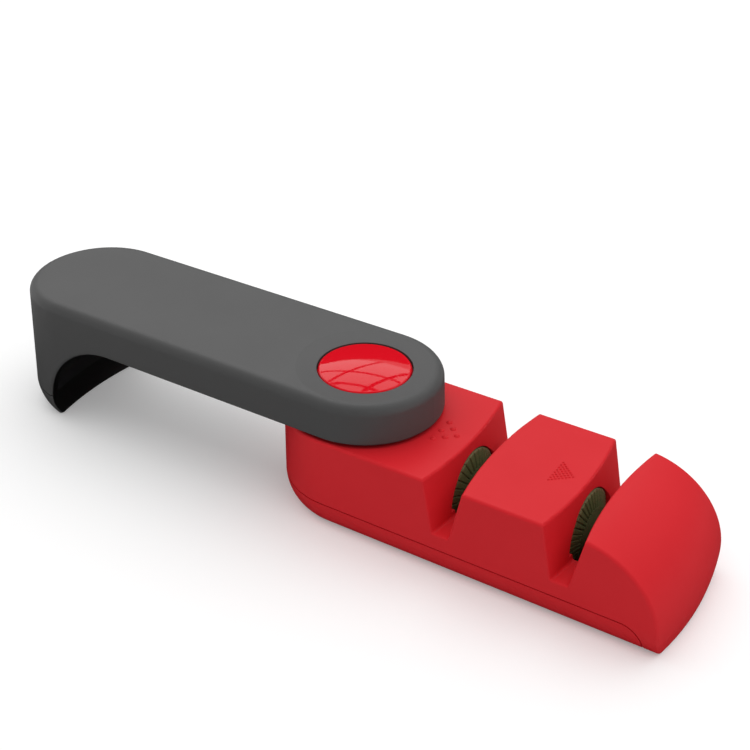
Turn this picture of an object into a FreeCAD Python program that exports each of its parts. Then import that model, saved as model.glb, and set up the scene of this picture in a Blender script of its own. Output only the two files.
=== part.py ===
import FreeCAD, Part
import math
import os
from FreeCAD import Vector

# Frame: origin on the table under the pivot, +X along the base to its nose, +Z up.
# At rest the handle is swung open and points along -X.

# Overall sizes, in millimetres
body_width = 48.0           # across the base, and across the handle before its flare
closed_length = 150.0       # end to end with the handle folded over the base, before its flare
base_height = 31.0          # top of the red blocks above the table
handle_gap = 1.0            # air between the base and the handle folded over it
handle_height = 12.4        # thickness of the handle's slab
handle_nose = 16.6          # thickness of the handle's nose on the centre line, before its flare

# Clearances
running_gap = 0.05          # sleeves that turn and the button under its rim
fit_gap = 0.02              # pieces pushed or screwed together
loose_gap = 0.3             # pieces that pass each other freely
axial_play = 0.1            # lift of the handle under its retaining washer
table_gap = 0.5             # bottom cover above the table, taken up by the foot pads
foot_gap = 0.3              # handle's nose above the table
seam_gap = 0.4              # height of the shadow lines at the two parting lines
seam_depth = 0.8            # depth of those shadow lines
overrun = 2.0               # how far each cutter passes what it cuts

# Base shell
base_wall = 2.4
base_top_wall = 2.6
edge_round = 1.0            # rounding of the housing's outer edges and slot mouths
slot_end_round = 0.6        # rounding where a slot's walls meet the sides
cover_seam = 9.0            # height of the parting line between housing and cover
cover_floor = 1.6
draw_in = 3.4               # how far the sides draw in from the parting line to the table
draw_bow = 0.8              # swell of that drawn-in face
nose_radius = 25.0          # rounding of the nose in side view
nose_lip = 7.1              # depth of the housing's lip in front of the cover
lip_round = 6.3             # bend of the parting line down to the table

# Slots and their marks
slot_top_width = 12.4
slot_floor_width = 5.4
slot_floor_height = 13.9
slot_bow = 2.3              # swell of the slots' walls midway, towards each other
slot_root_round = 0.8       # hollow where a slot's walls meet its floor
mouth_lift = 0.03           # crown of a mouth's rounding above the housing's flat top
slot_wall = 2.0
slot_floor = 2.0
coarse_slot_share = 0.522   # pivot to coarse slot over pivot to fine slot
nose_land = 0.4             # flat between the fine slot and the start of the nose
mark_width = 9.6            # triangle of dots, across the body
mark_depth = 5.2            # triangle of dots, along the body
mark_setback = 2.4          # tip of the triangle to the slot's edge
coarse_rows = 3
fine_rows = 8
coarse_dot_radius = 0.95
fine_dot_radius = 0.36
coarse_dot_rise = 0.5
fine_dot_rise = 0.3

# Sharpening wheels, axles and cradles
wheel_cover = 3.8           # base's top above the wheels
wheel_clear = 0.5           # wheel above the cover's floor
wheel_mouth = 5.4           # between the two rims
wheel_root_gap = 0.6        # between the two wheels at the bottom of their groove
wheel_root_radius = 3.6
wheel_land = 1.0            # width of the rim
wheel_taper = 1.4           # bevel behind the rim
wheel_bevel = 2.5           # a wheel's radius at its rim less that at its back
window_gap = 0.45           # air between wheel and window
window_flare = 1.6          # widening of a window for each mm that its wall stands before the rim
rib_inner_radius = 7.4      # where the ribs on the working face end
rib_depth = 0.4
rib_width = 0.75
coarse_ribs = 30
fine_ribs = 40
axle_radius = 1.5
hub_radius = 2.6
hub_proud = 0.6             # sleeve past the wheels' backs
cheek_thickness = 2.0
cheek_half_width = 4.5
cheek_land = 2.5            # cheek above the axle
bar_gap = 1.2               # wheel to the cradle's end bars
bar_thickness = 1.8
frame_height = 6.0
lug_length = 6.4
lug_half_width = 3.2
lug_side = 3.6              # a cradle's two lugs stand off centre, to opposite sides
lug_thickness = 2.5
lug_boss_height = 2.5

# Screws, bosses and feet
head_radius = 2.6
head_height = 1.5
shank_radius = 1.3
recess_wall = 1.2           # wall between a head's recess and the drawn-in side
boss_radius = 3.4
base_screw_length = 18.0
base_screw_sink = 2.6       # depth of the head's recess in the cover
pivot_boss_x = 4.0
cradle_screw_length = 4.4
pad_radius = 6.0
pivot_pad_radius = 11.0
pad_pocket = 0.8

# Pivot
post_share = 0.43           # post's radius over the button's
pivot_boss_edge = 2.0       # thick disc in the housing's top wall, past the post's flange
pivot_boss_depth = 5.0
flange_edge = 2.5           # flange past its screws
flange_thickness = 2.5
post_screw_step = 2.5       # post's side to its screws
post_screws_count = 3
post_screw_length = 5.5
post_head_radius = 2.0
post_shank_radius = 1.1
bush_wall = 1.6
web_rise = 3.0              # handle's underside up to the web that carries the hub
web_thickness = 2.0
collar_wall = 1.6
collar_land = 1.7           # index ring outside its notches
washer_lap = 1.4            # retaining washer over the hub
washer_thickness = 1.2
pivot_head_radius = 3.4
pivot_head_height = 1.4
pivot_shank_radius = 1.6
pivot_screw_length = 10.0

# Latch
latch_strip = 0.5           # thickness of the spring strip
latch_room = 1.15           # room for the strip to spring in
latch_release = 0.1         # how far a leg pushes a nose clear of its notch
latch_below_web = 0.6
latch_tip = 0.8             # nose past the index ring's bore
latch_nose_half = 3.0       # half width of a nose at its root
latch_tip_half = 0.9        # half width of a nose at its tip
latch_side_gap = 0.1
latch_tab_half = 2.0
latch_tab_depth = 2.2

# Button
button_share = 0.29         # button's radius over the body's width
button_gap = 0.4            # dark ring round the button
button_wall = 1.7
button_roof = 1.3           # rim down to the underside of the roof
button_dome = 1.1           # rise of the dome above its rim
button_round = 0.7
button_flange = 1.4         # how far the flange reaches under the handle's top wall
button_flange_thickness = 1.75
leg_thickness = 1.3
leg_half_width = 0.8
leg_gap = 0.4               # leg above the latch nose
spring_wire = 0.7
spring_turns = 3

# Handle
handle_wall = 2.4
handle_top_wall = 2.4
handle_round = 3.0          # rounding of the top edge
handle_edge = 0.8           # rounding of the lower edge and of the round cut
handle_flare = 0.9          # how far the nose's foot stands past the body's half width
handle_draft = 0.045        # lean of the handle's sides, for each mm of height
foot_seam = 9.5             # height of the nose's parting line
foot_floor = 2.0
liner_wall = 2.2
liner_pad = 1.8             # extra thickness of the liner at its screws
liner_pad_radius = 4.2
dish_depth = 0.7            # shallow dish round the button
dish_margin = 0.5           # dish to the start of the rounded edge
handle_screw_near = 6.0     # from the round end's edge, along the handle
handle_screw_far = 35.4     # from the round cut, along the handle
handle_screw_margin = 10.0  # from the handle's side
handle_screw_sink = 2.0
handle_screw_length = 7.0
foot_screw_side = 9.0
foot_screw_sink = 2.6
foot_screw_length = 18.0

# Worked out from the sizes above
body_radius = body_width / 2
pivot_span = closed_length - body_width
cut_reach = pivot_span + body_radius - handle_nose
nose_reach = cut_reach - handle_gap
nose_start = nose_reach - nose_radius
nose_centre = base_height - nose_radius
lip_x = nose_reach - nose_lip
floor_top = table_gap + cover_floor
fine_slot_x = nose_start - nose_land - slot_top_width / 2
coarse_slot_x = fine_slot_x * coarse_slot_share
wheel_radius = (base_height - wheel_cover - wheel_clear - floor_top) / 2
wheel_back_radius = wheel_radius - wheel_bevel
axle_height = floor_top + wheel_clear + wheel_radius
wheel_back = wheel_mouth / 2 + wheel_land + wheel_taper
hub_end = wheel_back + hub_proud
cheek_inner = hub_end + loose_gap
cheek_outer = cheek_inner + cheek_thickness
lug_screw = cheek_outer + lug_length / 2
bar_inner = wheel_radius + bar_gap
bar_outer = bar_inner + bar_thickness
recess_radius = head_radius + loose_gap
boss_side = body_radius - draw_in - recess_wall - recess_radius
handle_screw_side = body_radius - handle_screw_margin
nose_boss_x = fine_slot_x + cheek_outer + boss_radius + loose_gap
handle_bottom = base_height + handle_gap
handle_top = handle_bottom + handle_height
handle_roof = handle_top - handle_top_wall
web_low = handle_bottom + web_rise
web_high = web_low + web_thickness
post_top = web_high + axial_play
flange_top = base_height - pivot_boss_depth
button_radius = body_width * button_share
leg_inner = button_radius - leg_thickness
skirt_inner = button_radius - button_wall
leg_slot_outer = button_radius + loose_gap
leg_slot_inner = leg_inner - loose_gap
leg_slot_half = leg_half_width + loose_gap
collar_inner = leg_slot_outer + collar_land
collar_outer = collar_inner + collar_wall
notch_inner = leg_inner - latch_release
latch_outer = notch_inner - latch_room
latch_inner = latch_outer - latch_strip
latch_top = web_low - latch_below_web
hub_outer = latch_inner - latch_room
post_radius = button_radius * post_share
hub_inner = post_radius + bush_wall
washer_radius = hub_inner + washer_lap
post_screw_circle = post_radius + post_screw_step
flange_radius = post_screw_circle + flange_edge
pivot_boss_radius = flange_radius + pivot_boss_edge
button_rim = handle_top - dish_depth
button_crown = button_rim + button_dome
roof_low = button_rim - button_roof
flange_high = handle_roof - running_gap
skirt_low = flange_high - button_flange_thickness
spring_radius = (washer_radius + skirt_inner) / 2
pivot = Vector(0, 0, 0)
upwards = Vector(0, 0, 1)
forwards = Vector(1, 0, 0)
handle_ends = [0, -pivot_span]
base_boss_places = [(x, side * boss_side)
                    for x in (pivot_boss_x, (coarse_slot_x + fine_slot_x) / 2, nose_boss_x)
                    for side in (1, -1)]
lug_places = [(slot + side * lug_screw, side * lug_side)
              for slot in (coarse_slot_x, fine_slot_x) for side in (1, -1)]
handle_boss_places = [(-x, side * handle_screw_side)
                      for x in (body_radius + handle_screw_near, cut_reach - handle_screw_far)
                      for side in (1, -1)]


# Plain forms

def on_arc(centre, radius, angle):
    """Point of a circle in the XZ plane."""
    turn = math.radians(angle)
    return (centre[0] + radius * math.cos(turn), centre[1] + radius * math.sin(turn))


def bowed(start, end, bow):
    """Middle of an arc from start to end that swells to the right of its chord by the bow."""
    run = end[0] - start[0]
    rise = end[1] - start[1]
    chord = math.hypot(run, rise)
    return ((start[0] + end[0]) / 2 + bow * rise / chord, (start[1] + end[1]) / 2 - bow * run / chord)


def outline(start, *steps):
    """Face in the XZ plane; a step is [end] for a line or [middle, end] for an arc."""
    edges = []
    here = Vector(start[0], 0, start[1])
    for step in steps:
        points = [Vector(x, 0, z) for x, z in step]
        curve = Part.LineSegment(here, points[0]) if len(points) == 1 else Part.Arc(here, *points)
        edges.append(curve.toShape())
        here = points[-1]
    return Part.Face(Part.Wire(edges))


def turned(face):
    """Body of revolution about the pivot's axis."""
    return face.revolve(pivot, upwards, 360)


def across(face, half_width):
    """Face in the XZ plane drawn out to both sides of the centre line."""
    form = face.extrude(Vector(0, 2 * half_width, 0))
    form.translate(Vector(0, -half_width, 0))
    return form


def disc(radius, low, high, x=0, y=0):
    return Part.makeCylinder(radius, high - low, Vector(x, y, low))


def ring(outer, inner, low, high, x=0, y=0):
    return disc(outer, low, high, x, y).cut(disc(inner, low - overrun, high + overrun, x, y))


def block(x_from, x_to, half_width, low, high):
    return Part.makeBox(x_to - x_from, 2 * half_width, high - low, Vector(x_from, -half_width, low))


def slab(half_width, low, high, x_from, x_to, ends):
    """Upright-sided bar with a half round at each of the given ends."""
    rounds = [disc(half_width, low, high, x) for x in ends]
    return block(x_from, x_to, half_width, low, high).fuse(rounds).removeSplitter()


def capsule(face, x_from, x_to, ends):
    """Half section drawn along X on both sides and turned about Z at each of the given ends."""
    forms = []
    for quarter_turn in (90, -90):
        half = face.copy()
        half.rotate(pivot, upwards, quarter_turn)
        half.translate(Vector(x_from, 0, 0))
        forms.append(half.extrude(Vector(x_to - x_from, 0, 0)))
    for x in ends:
        end = turned(face)
        end.translate(Vector(x, 0, 0))
        forms.append(end)
    return forms[0].fuse(forms[1:]).removeSplitter()


def side_face(half_width, low, top, seam, top_round, draft=0):
    """Half section of the body: floor, drawn-in foot, side that leans in by its draft, rounded top edge."""
    foot = (half_width - draw_in, low)
    knee = (half_width, seam)
    shoulder = (half_width - draft * (top - top_round - seam), top - top_round)
    crown = (shoulder[0] - top_round, top)
    middle = on_arc((crown[0], shoulder[1]), top_round, 45)
    edge = [[middle, crown]] if top_round else []
    return outline((0, low), [foot], [bowed(foot, knee, draw_bow), knee], [shoulder], *edge,
                   [(0, top)], [(0, low)])


def nose_form(inset, low):
    """Body of revolution about the pivot, flat on top and rounded over at the nose."""
    radius = nose_radius - inset
    centre = (nose_start, nose_centre)
    lowest = math.degrees(math.asin((low - nose_centre) / radius))
    crest = (nose_start, nose_centre + radius)
    middle = on_arc(centre, radius, (lowest + 90) / 2)
    return turned(outline((0, low), [on_arc(centre, radius, lowest)], [middle, crest],
                          [(0, crest[1])], [(0, low)]))


def rim_edge(form, level, end):
    """Edge in a level plane that lies furthest towards one end of the body."""
    edges = [edge for edge in form.Edges
             if max(abs(edge.BoundBox.ZMin - level), abs(edge.BoundBox.ZMax - level)) < fit_gap]
    return max(edges, key=lambda edge: end * edge.CenterOfMass.x)


def screw(x, y, seat, length, head=head_radius, height=head_height, shank=shank_radius, upward=True):
    """Pan-head screw whose head bears on the seat; it points up, or down for a head on top."""
    if upward:
        return disc(head, seat - height, seat, x, y).fuse(disc(shank, seat, seat + length, x, y))
    return disc(head, seat, seat + height, x, y).fuse(disc(shank, seat - length, seat, x, y))


def screw_room(x, y, seat, length, mouth):
    """Cutter for an upward screw: the head's recess from the mouth to the seat, and the shank's hole."""
    recess = disc(recess_radius, mouth, seat, x, y)
    hole = disc(shank_radius + fit_gap, seat - fit_gap, seat + length + fit_gap, x, y)
    return recess.fuse(hole)


# Base

def base_form(inset, low, top):
    face = side_face(body_radius - inset, low, top, cover_seam, 0)
    return capsule(face, 0, nose_reach + overrun, [0])


def base_outer():
    """Outside of housing and cover together; its top edge runs on down both sides of the nose."""
    form = base_form(0, table_gap, base_height).common(nose_form(0, table_gap))
    return form.makeFillet(edge_round, [rim_edge(form, base_height, -1)])


def cover_zone(offset):
    """Space below the parting line, which bends down to the table behind the nose's lip."""
    back = -body_radius - overrun
    low = -overrun
    centre = (lip_x - lip_round, cover_seam - lip_round)
    radius = lip_round - offset
    face = outline((back, low), [(lip_x - offset, low)], [(lip_x - offset, centre[1])],
                   [on_arc(centre, radius, 45), (centre[0], cover_seam - offset)],
                   [(back, cover_seam - offset)], [(back, low)])
    return across(face, body_radius + overrun)


def slot_room(x):
    """V slot with a rounded mouth; its two walls are cones that swell towards each other midway."""
    top_half = slot_top_width / 2
    mouth_radius = (body_radius ** 2 + slot_bow ** 2) / (2 * slot_bow)
    cone_side = top_half - slot_bow + mouth_radius
    floor_radius = math.hypot(body_radius, cone_side - slot_floor_width / 2)
    crown = base_height + mouth_lift
    tilt = math.atan((floor_radius - mouth_radius) / (crown - slot_floor_height))
    tangent = edge_round / math.tan((math.pi / 2 + tilt) / 2)
    below = slot_floor_height - overrun
    above = base_height + 2 * overrun
    wall_start = (floor_radius + overrun * math.tan(tilt), below)
    wall_end = (mouth_radius + tangent * math.sin(tilt), crown - tangent * math.cos(tilt))
    rim = (mouth_radius - tangent, crown)
    middle = on_arc((rim[0], crown - edge_round), edge_round, (math.degrees(tilt) + 90) / 2)
    cone = turned(outline((0, below), [wall_start], [wall_end], [middle, rim], [(rim[0], above)],
                          [(0, above)], [(0, below)]))
    half = top_half + edge_round + overrun
    form = block(-half, half, body_radius + overrun, slot_floor_height, base_height + overrun)
    for side in (1, -1):
        wall = cone.copy()
        wall.translate(Vector(side * cone_side, 0, 0))
        form = form.cut(wall)
    form.translate(Vector(x, 0, 0))
    return form


def slot_casing(x):
    """Walls and floor that the housing keeps round a slot."""
    low_half = slot_floor_width / 2 + slot_wall
    top_half = slot_top_width / 2 + slot_wall
    low = slot_floor_height - slot_floor
    face = outline((-low_half, low), [(low_half, low)], [(top_half, base_height)],
                   [(-top_half, base_height)], [(-low_half, low)])
    form = across(face, body_radius)
    form.translate(Vector(x, 0, 0))
    return form


def wheel_window(x):
    """Round opening in a slot's walls and floor for the wheels, flared where a wall stands before a rim."""
    half = slot_top_width / 2 + slot_wall + overrun
    radius = wheel_radius + window_gap
    land = wheel_mouth / 2
    form = Part.makeCylinder(radius, 2 * half, Vector(x - half, 0, axle_height), forwards)
    above = block(x - half, x + half, body_radius, slot_floor_height + 2 * slot_root_round, base_height)
    flares = [Part.makeCone(radius + land * window_flare, radius, land, Vector(x, 0, axle_height),
                            Vector(side, 0, 0)).common(above) for side in (1, -1)]
    return form.fuse(flares)


def dot_mark(slot_x, rows, radius, rise):
    """Triangle of domed dots that points at its slot."""
    tip = slot_x - slot_top_width / 2 - mark_setback
    ball = (radius ** 2 + rise ** 2) / (2 * rise)
    dots = []
    for row in range(rows):
        for place in range(row + 1):
            x = tip - row * mark_depth / (rows - 1)
            y = (place - row / 2) * mark_width / (rows - 1)
            dots.append(Part.makeSphere(ball, Vector(x, y, base_height + rise - ball)))
    return dots


def latch_tab_rooms(gap):
    """The two tabs of the latch spring, or their slots in the housing with a gap all round."""
    tabs = []
    for side in (1, -1):
        tab = Part.makeBox(2 * (latch_tab_half + gap), latch_strip + 2 * gap, latch_tab_depth + gap)
        middle = side * (latch_inner + latch_outer) / 2
        tab.translate(Vector(-latch_tab_half - gap, middle - latch_strip / 2 - gap,
                             base_height - latch_tab_depth - gap))
        tabs.append(tab)
    return tabs


def upper_housing():
    inner = slab(body_radius - base_wall, cover_seam, base_height - base_top_wall, 0, nose_reach, [0])
    kept = [slot_casing(coarse_slot_x), slot_casing(fine_slot_x)]
    kept += [disc(boss_radius, cover_seam, base_height, x, y) for x, y in base_boss_places]
    kept.append(disc(pivot_boss_radius, flange_top, base_height))
    cavity = inner.common(nose_form(base_wall, cover_seam)).cut(kept)
    holes = [slot_room(coarse_slot_x), slot_room(fine_slot_x)]
    holes += [wheel_window(coarse_slot_x), wheel_window(fine_slot_x)]
    holes.append(disc(post_radius + fit_gap, flange_top - overrun, base_height + overrun))
    seat = table_gap + base_screw_sink
    holes += [screw_room(x, y, seat, base_screw_length, 0) for x, y in base_boss_places]
    holes += [disc(post_shank_radius + fit_gap, flange_top - overrun,
                   flange_top - flange_thickness + post_screw_length + fit_gap, x, y)
              for x, y in post_screw_places()]
    holes += latch_tab_rooms(fit_gap)
    shell = base_outer().cut(cover_zone(0)).cut(cavity).cut(holes)
    shell = shell.makeFillet(slot_root_round, slot_root_edges(shell))
    shell = shell.makeFillet(slot_end_round, slot_end_edges(shell))
    dots = dot_mark(coarse_slot_x, coarse_rows, coarse_dot_radius, coarse_dot_rise)
    dots += dot_mark(fine_slot_x, fine_rows, fine_dot_radius, fine_dot_rise)
    return shell.fuse(dots)


def slot_root_edges(shell):
    """Edges where the slots' walls meet what the windows leave of their floors."""
    edges = []
    for edge in shell.Edges:
        box = edge.BoundBox
        at_floor = max(abs(box.ZMin - slot_floor_height), abs(box.ZMax - slot_floor_height)) < fit_gap
        if at_floor and box.YLength > box.XLength and edge.CenterOfMass.x < nose_start:
            edges.append(edge)
    return edges


def slot_end_edges(shell):
    """Sloping edges where the slots' walls come out at the sides."""
    edges = []
    for edge in shell.Edges:
        box = edge.BoundBox
        at_side = min(abs(box.YMin), abs(box.YMax)) > body_radius - fit_gap
        sloping = box.XLength > fit_gap and box.ZLength > box.XLength
        if at_side and sloping and edge.CenterOfMass.x < nose_start:
            edges.append(edge)
    return edges


def foot_pad_places():
    """Centre and radius of each pad: one under the pivot and two under each slot."""
    side = boss_side - boss_radius
    places = [(0, 0, pivot_pad_radius)]
    places += [(x, y, pad_radius) for x in (coarse_slot_x, fine_slot_x) for y in (side, -side)]
    return places


def bottom_cover():
    room = capsule(side_face(body_radius - base_wall, floor_top, cover_seam + overrun, cover_seam, 0),
                   0, lip_x - lip_round, [0])
    kept = [disc(boss_radius, floor_top, cover_seam, x, y) for x, y in base_boss_places]
    kept += [disc(lug_half_width, floor_top, floor_top + lug_boss_height, x, y) for x, y in lug_places]
    shadow = cover_zone(0).cut(cover_zone(seam_gap))
    shadow = shadow.cut(base_form(seam_depth, table_gap, cover_seam + overrun))
    seat = table_gap + base_screw_sink
    holes = [room.cut(kept), shadow]
    holes += [screw_room(x, y, seat, base_screw_length, 0) for x, y in base_boss_places]
    holes += [disc(radius, 0, table_gap + pad_pocket, x, y) for x, y, radius in foot_pad_places()]
    screw_end = floor_top + lug_boss_height + lug_thickness - cradle_screw_length - fit_gap
    holes += [disc(shank_radius + fit_gap, screw_end, cover_seam, x, y) for x, y in lug_places]
    return base_outer().common(cover_zone(0)).cut(holes)


def foot_pads():
    return Part.makeCompound([disc(radius - fit_gap, 0, table_gap + pad_pocket, x, y)
                              for x, y, radius in foot_pad_places()])


def base_screws():
    seat = table_gap + base_screw_sink
    return Part.makeCompound([screw(x, y, seat, base_screw_length) for x, y in base_boss_places])


def cradle(slot_x):
    """Frame round a pair of wheels, with a cheek at each end of the axle and a screw lug past each cheek."""
    frame_top = floor_top + frame_height
    cheek_top = axle_height + axle_radius + cheek_land
    frame = block(-cheek_outer, cheek_outer, bar_outer, floor_top, frame_top)
    frame = frame.cut(block(-cheek_inner, cheek_inner, bar_inner, floor_top - overrun, frame_top + overrun))
    lug_low = floor_top + lug_boss_height
    for side in (1, -1):
        inner, outer = sorted((side * cheek_inner, side * cheek_outer))
        frame = frame.fuse(block(inner, outer, cheek_half_width, floor_top, cheek_top))
        inner, outer = sorted((side * cheek_inner, side * (cheek_outer + lug_length)))
        lug = block(inner, outer, lug_half_width, lug_low, lug_low + lug_thickness)
        lug.translate(Vector(0, side * lug_side, 0))
        hole = disc(shank_radius + fit_gap, lug_low - overrun, lug_low + lug_thickness + overrun,
                    side * lug_screw, side * lug_side)
        frame = frame.fuse(lug).cut(hole)
    bore = Part.makeCylinder(axle_radius + fit_gap, 2 * (cheek_outer + overrun),
                             Vector(-cheek_outer - overrun, 0, axle_height), forwards)
    frame = frame.removeSplitter().cut(bore)
    frame.translate(Vector(slot_x, 0, 0))
    return frame


def cradle_screws():
    seat = floor_top + lug_boss_height + lug_thickness
    return Part.makeCompound([screw(x, y, seat, cradle_screw_length, upward=False) for x, y in lug_places])


def axle(slot_x):
    return Part.makeCylinder(axle_radius, 2 * cheek_outer,
                             Vector(slot_x - cheek_outer, 0, axle_height), forwards)


# Wheels

def rib_cutters(count):
    """V grooves along the working face, evenly spaced round the axle."""
    root = Vector(wheel_root_gap / 2, 0, wheel_root_radius)
    rim = Vector(wheel_mouth / 2, 0, wheel_radius)
    along = (rim - root).normalize()
    out = Vector(-along.z, 0, along.x)
    start = root + along * ((rib_inner_radius - wheel_root_radius) / along.z)
    half = rib_width / 2
    corners = [start + out * rib_depth + Vector(0, 2 * half, 0),
               start + out * rib_depth - Vector(0, 2 * half, 0),
               start - out * rib_depth]
    face = Part.Face(Part.makePolygon(corners + [corners[0]]))
    groove = face.extrude(along * ((wheel_radius - rib_inner_radius) / along.z + overrun))
    grooves = []
    for number in range(count):
        turn = groove.copy()
        turn.rotate(pivot, forwards, 360 * number / count)
        grooves.append(turn)
    return grooves


def wheel(slot_x, side, ribs):
    """Ceramic wheel with a ribbed conical working face towards the middle of the slot."""
    bore = hub_radius + fit_gap
    land = wheel_mouth / 2
    face = outline((wheel_root_gap / 2, bore), [(wheel_root_gap / 2, wheel_root_radius)],
                   [(land, wheel_radius)], [(land + wheel_land, wheel_radius)],
                   [(wheel_back, wheel_back_radius)], [(wheel_back, bore)], [(wheel_root_gap / 2, bore)])
    form = face.revolve(pivot, forwards, 360).cut(rib_cutters(ribs))
    if side < 0:
        form = form.mirror(pivot, forwards)
    form.translate(Vector(slot_x, 0, axle_height))
    return form


def wheel_hub(slot_x):
    """Sleeve that carries a pair of wheels and turns on the axle."""
    start = Vector(slot_x - hub_end, 0, axle_height)
    sleeve = Part.makeCylinder(hub_radius, 2 * hub_end, start, forwards)
    return sleeve.cut(Part.makeCylinder(axle_radius + running_gap, 2 * hub_end, start, forwards))


# Pivot

def post_screw_places():
    turns = [math.radians(90 + 360 * number / post_screws_count) for number in range(post_screws_count)]
    return [(post_screw_circle * math.cos(turn), post_screw_circle * math.sin(turn)) for turn in turns]


def pivot_post():
    post = disc(post_radius, flange_top - flange_thickness, post_top)
    flange = disc(flange_radius, flange_top - flange_thickness, flange_top)
    holes = [disc(post_shank_radius + fit_gap, flange_top - flange_thickness - overrun,
                  flange_top + overrun, x, y) for x, y in post_screw_places()]
    thread_end = post_top + washer_thickness - pivot_screw_length - fit_gap
    holes.append(disc(pivot_shank_radius + fit_gap, thread_end, post_top + overrun))
    return post.fuse(flange).removeSplitter().cut(holes)


def post_screws():
    seat = flange_top - flange_thickness
    return Part.makeCompound([screw(x, y, seat, post_screw_length, post_head_radius, head_height,
                                    post_shank_radius) for x, y in post_screw_places()])


def thrust_washer():
    return ring(hub_outer, post_radius + fit_gap, base_height, handle_bottom - running_gap)


def retaining_washer():
    return ring(washer_radius, pivot_shank_radius + fit_gap, post_top, post_top + washer_thickness)


def pivot_screw():
    return screw(0, 0, post_top + washer_thickness, pivot_screw_length, pivot_head_radius,
                 pivot_head_height, pivot_shank_radius, upward=False)


def latch_nose_face(side, shift, half_gap):
    """Plan of a latch nose, moved out by the shift and widened by the gap."""
    root = latch_outer + shift - latch_strip
    tip = notch_inner + latch_tip + shift
    corners = [Vector(side * root, latch_nose_half + half_gap, 0),
               Vector(side * tip, latch_tip_half + half_gap, 0),
               Vector(side * tip, -latch_tip_half - half_gap, 0),
               Vector(side * root, -latch_nose_half - half_gap, 0)]
    return Part.Face(Part.makePolygon(corners + [corners[0]]))


def latch_spring():
    """Closed spring strip with a nose bent out at each side and two tabs down into the housing."""
    height = Vector(0, 0, latch_top - base_height)
    strip = ring(latch_outer, latch_inner, base_height, latch_top)
    for side in (1, -1):
        nose = latch_nose_face(side, 0, 0).extrude(height)
        hollow = latch_nose_face(side, -2 * latch_strip, 0).extrude(height)
        nose.translate(Vector(0, 0, base_height))
        hollow.translate(Vector(0, 0, base_height))
        strip = strip.fuse(nose).cut(hollow)
    return strip.fuse(latch_tab_rooms(0)).removeSplitter()


def index_ring():
    """Ring in the handle's collar with a notch for each latch nose and room for the button's legs."""
    low = handle_bottom + loose_gap
    form = ring(collar_inner - fit_gap, notch_inner, low, web_low)
    height = Vector(0, 0, web_low - low + 2 * overrun)
    for side in (1, -1):
        notch = latch_nose_face(side, latch_side_gap, latch_side_gap).extrude(height)
        notch.translate(Vector(0, 0, low - overrun))
        inner, outer = sorted((side * notch_inner, side * leg_slot_outer))
        leg_room = block(inner, outer, leg_slot_half, low - overrun, web_low + overrun)
        form = form.cut([notch, leg_room])
    return form


def pivot_bush():
    return ring(hub_inner - fit_gap, post_radius + running_gap, handle_bottom, web_high)


# Button

def release_button():
    """Domed cap with a flange under the handle's top wall and two legs down to the latch noses."""
    inner_rim = button_radius - button_round
    sphere = (inner_rim ** 2 + button_dome ** 2) / (2 * button_dome)
    half_way = inner_rim / 2
    dome_middle = (half_way, button_crown - sphere + math.sqrt(sphere ** 2 - half_way ** 2))
    rim_middle = on_arc((inner_rim, button_rim - button_round), button_round, 45)
    flange = button_radius + button_flange
    face = outline((0, roof_low), [(skirt_inner, roof_low)], [(skirt_inner, skirt_low)],
                   [(flange, skirt_low)], [(flange, flange_high)], [(button_radius, flange_high)],
                   [(button_radius, button_rim - button_round)], [rim_middle, (inner_rim, button_rim)],
                   [dome_middle, (0, button_crown)], [(0, roof_low)])
    legs = ring(button_radius, leg_inner, latch_top + leg_gap, skirt_low)
    legs = legs.common(block(-flange, flange, leg_half_width, latch_top, skirt_low))
    return turned(face).fuse(legs).removeSplitter()


def biarc(start, start_way, end, end_way):
    """Two arcs that join two points along the given directions."""
    gap = end - start
    ways = start_way + end_way
    bend = 2 * (1 - start_way.dot(end_way))
    reach = (math.sqrt(gap.dot(ways) ** 2 + bend * gap.dot(gap)) - gap.dot(ways)) / bend
    corners = [start + start_way * reach, end - end_way * reach]
    joint = (corners[0] + corners[1]) / 2
    arcs = []
    for first, corner, last in ((start, corners[0], joint), (joint, corners[1], end)):
        chord = (first + last) / 2
        half = (last - first).Length / 2
        lean = (corner - first).getAngle(last - first)
        middle = chord + (corner - chord).normalize() * (half * math.tan(lean / 2))
        arcs.append(Part.Arc(first, middle, last).toShape())
    return arcs


def button_spring():
    """Coil between the handle's web and the button's roof, as one wire on quarter-turn biarcs."""
    low = web_high + spring_wire / 2 + running_gap
    high = roof_low - spring_wire / 2 - running_gap
    rise = (high - low) / spring_turns
    steps = 4 * spring_turns

    def place(step):
        turn = math.pi / 2 * step
        point = Vector(spring_radius * math.cos(turn), spring_radius * math.sin(turn), low + rise * step / 4)
        way = Vector(-math.sin(turn), math.cos(turn), rise / (2 * math.pi * spring_radius)).normalize()
        return point, way

    edges = []
    for step in range(steps):
        edges += biarc(*place(step), *place(step + 1))
    point, way = place(0)
    section = Part.Wire(Part.Circle(point, way, spring_wire / 2).toShape())
    print("button_spring least gap to itself", round(rise - spring_wire, 2))
    return Part.Wire(edges).makePipeShell([section], True, False)


# Handle

def handle_form(inset, low, top, top_round):
    face = side_face(body_radius + handle_flare - inset, low, top, foot_seam, top_round, handle_draft)
    return capsule(face, -pivot_span, 0, handle_ends)


def handle_outer():
    """Outside of shell and foot together, with the round cut that clears the base."""
    form = handle_form(0, foot_gap, handle_top, handle_round).cut(nose_form(-handle_gap, -overrun))
    return form.makeFillet(handle_edge, [rim_edge(form, handle_bottom, 1)])


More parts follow.
